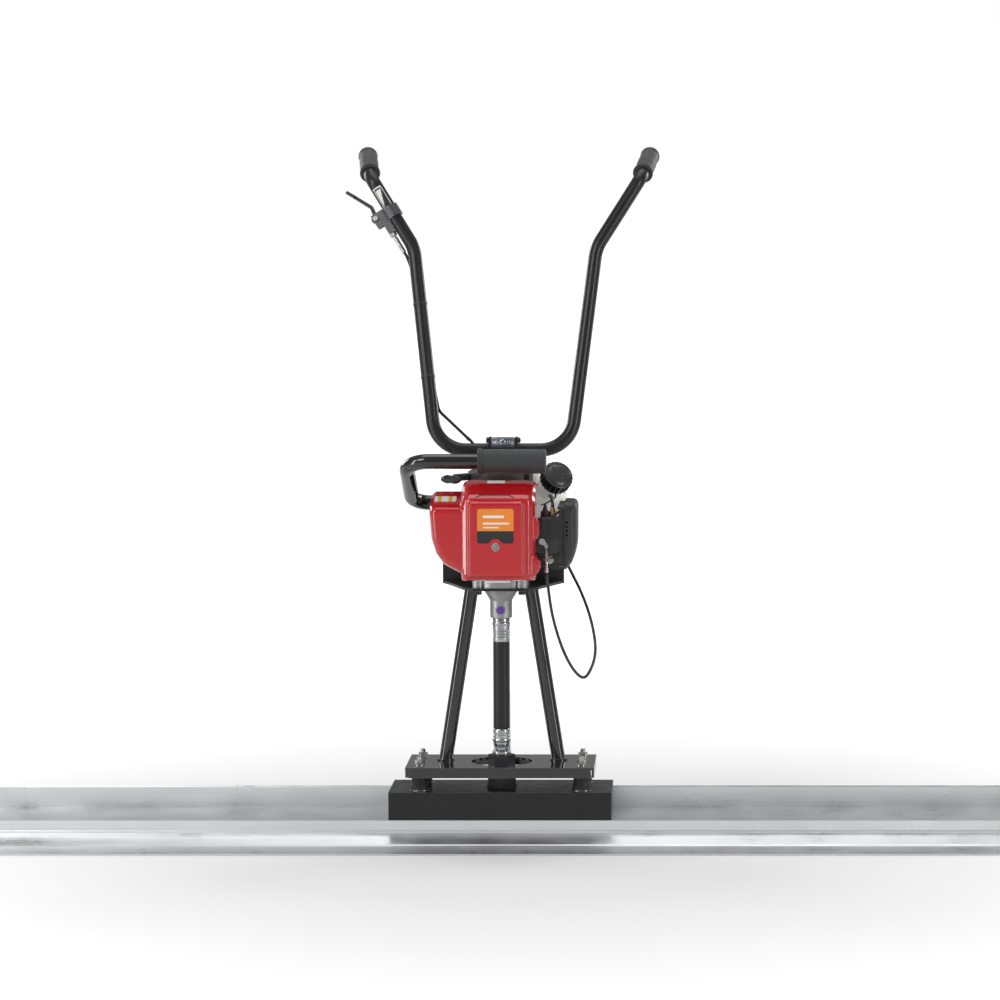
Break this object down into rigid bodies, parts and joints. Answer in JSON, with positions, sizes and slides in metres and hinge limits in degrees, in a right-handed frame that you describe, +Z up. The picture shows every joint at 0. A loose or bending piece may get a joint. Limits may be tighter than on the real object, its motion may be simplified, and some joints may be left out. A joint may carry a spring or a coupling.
{
  "type": "power screed",
  "caption": "Vibrating concrete screed: long aluminium board, rubber-mounted stand, small red-covered petrol engine with a flexible drive, and a tilting two-grip handlebar with thumb throttle.",
  "frame": {"origin": "on the underside of the board, at the middle of its length, straight below the drive axis", "axes": "+X along the board, to the right of a viewer who faces the engine's red cover; +Y horizontal, across the board toward the operator's grips; +Z up along the drive axis"},
  "size_m": [2, 0.4739, 1.1205],
  "materials": {
    "board_alloy": "mill",
    "zinc": "zinc plated",
    "bright_zinc": "bright zinc",
    "ferrule_zinc": "zinc plated",
    "black_paint": "satin",
    "black_gloss": "gloss",
    "black_oxide": "black oxide",
    "exciter_cast": "cast",
    "bearing_steel": "ground",
    "dark_steel": "machined",
    "isolator_rubber": "matte",
    "grip_rubber": "matte",
    "control_alloy": "cast",
    "cable_sheath": "satin",
    "hose_rubber": "satin",
    "cast_alloy": "cast",
    "purple_bolt": "anodised",
    "dark_cast": "cast",
    "black_plastic": "satin",
    "grey_plastic": "textured",
    "plug_ceramic": "glazed",
    "muffler_steel": "heat stained",
    "red_cover": "gloss",
    "rope": "braided",
    "bulb": "clear",
    "filter_foam": "foam",
    "tank_plastic": "translucent",
    "cap_plastic": "moulded"
  },
  "bodies": {
    "frame": {"screed_board": "board_alloy", "board_bolts": "zinc", "vibrator_box": "black_paint", "exciter_housing": "exciter_cast", "exciter_cap": "exciter_cast", "ball_bearings": "bearing_steel", "coupling_nut": "black_oxide", "isolators": "isolator_rubber", "isolator_fasteners": "zinc", "base_plate": "black_gloss", "leg_left": "black_gloss", "leg_right": "black_gloss", "leg_rear": "black_gloss", "engine_bracket": "black_paint", "clamp_saddle": "bright_zinc", "hex_bolts": "black_oxide", "lifting_handle": "black_gloss", "lifting_grip": "grip_rubber", "throttle_cable_lower": "cable_sheath", "drive_hose": "hose_rubber", "hose_ferrules": "ferrule_zinc", "adapter_bell": "cast_alloy", "collar_screw": "purple_bolt", "clutch_housing": "cast_alloy", "crankcase": "dark_cast", "blower_housing": "black_plastic", "cylinder": "dark_cast", "piston": "cast_alloy", "spark_plug": "plug_ceramic", "muffler": "muffler_steel", "top_cover": "red_cover", "cover_screw": "zinc", "recoil_cover": "grey_plastic", "carburettor": "dark_cast", "air_cleaner_base": "black_plastic", "air_filter": "filter_foam", "fuel_tank": "tank_plastic"},
    "handlebar": {"handlebar": "black_paint", "grip_left": "grip_rubber", "grip_right": "grip_rubber", "throttle_bracket": "control_alloy", "lever_screw": "zinc", "cable_adjuster": "zinc", "throttle_cable_upper": "cable_sheath"},
    "throttle_lever": {"throttle_lever": "control_alloy"},
    "throttle_arm": {"throttle_arm": "zinc"},
    "choke_lever": {"choke_lever": "black_plastic"},
    "primer_bulb": {"primer_bulb": "bulb"},
    "crankshaft": {"crankshaft": "bearing_steel", "flywheel": "cast_alloy", "clutch_shoes": "dark_steel"},
    "drive_line": {"clutch_drum": "dark_steel", "flex_core": "dark_steel", "eccentric_shaft": "dark_steel"},
    "starter_grip": {"starter_grip": "black_plastic", "starter_rope": "rope"},
    "recoil_pulley": {"recoil_pulley": "black_plastic"},
    "fuel_cap": {"fuel_cap": "cap_plastic"},
    "oil_cap": {"oil_cap": "cap_plastic"},
    "air_cleaner_cover": {"air_cleaner_cover": "black_plastic"}
  },
  "joints": [
    {"name": "handlebar_tilt", "type": "hinge", "parent": "frame", "child": "handlebar", "pos_m": [0, 0.085, 0.625], "axis": [-1, 0, 0], "range_deg": [-30, 60]},
    {"name": "throttle_squeeze", "type": "hinge", "parent": "handlebar", "child": "throttle_lever", "pos_m": [-0.21205, 0.1942, 0.99701], "axis": [0.1126, 0.9776, -0.1781], "range_deg": [0, 24]},
    {"name": "throttle_arm_turn", "type": "hinge", "parent": "frame", "child": "throttle_arm", "pos_m": [0.07, -0.091, 0.4926], "axis": [0, 1, 0], "range_deg": [0, 48]},
    {"name": "choke_turn", "type": "hinge", "parent": "frame", "child": "choke_lever", "pos_m": [0.088, -0.091, 0.5146], "axis": [0, -1, 0], "range_deg": [0, 65]},
    {"name": "primer_press", "type": "slide", "parent": "frame", "child": "primer_bulb", "axis": [0, 0, 1], "range_m": [0, 0.003], "stiffness_N_per_m": 800},
    {"name": "crank_spin", "type": "hinge", "parent": "frame", "child": "crankshaft", "pos_m": [0, 0, 0.5], "axis": [0, 0, 1], "continuous": true},
    {"name": "drive_spin", "type": "hinge", "parent": "frame", "child": "drive_line", "pos_m": [0, 0, 0.3], "axis": [0, 0, 1], "continuous": true},
    {"name": "starter_pull", "type": "slide", "parent": "frame", "child": "starter_grip", "axis": [-0.6, -0.8, 0], "range_m": [0, 0.45]},
    {"name": "recoil_pulley_turn", "type": "hinge", "parent": "frame", "child": "recoil_pulley", "pos_m": [0, 0, 0.59], "axis": [0, 0, 1], "range_deg": [0, 810.8]},
    {"name": "fuel_cap_turn", "type": "hinge", "parent": "frame", "child": "fuel_cap", "pos_m": [0.088, 0.015, 0.584], "axis": [0.3757, -0.7513, 0.5426], "range_deg": [0, 360]},
    {"name": "oil_cap_turn", "type": "hinge", "parent": "frame", "child": "oil_cap", "pos_m": [-0.052, 0.008, 0.4546], "axis": [-1, 0, 0], "range_deg": [0, 360]},
    {"name": "air_cover_open", "type": "hinge", "parent": "frame", "child": "air_cleaner_cover", "pos_m": [0.1051, -0.046, 0.447], "axis": [0, 1, 0], "range_deg": [0, 60]}
  ],
  "couplings": [
    {"joint": "throttle_arm_turn", "follows": "throttle_squeeze", "ratio": 2},
    {"joint": "drive_spin", "follows": "crank_spin", "ratio": 1},
    {"joint": "recoil_pulley_turn", "follows": "starter_pull", "rad_per_m": 31.447}
  ]
}
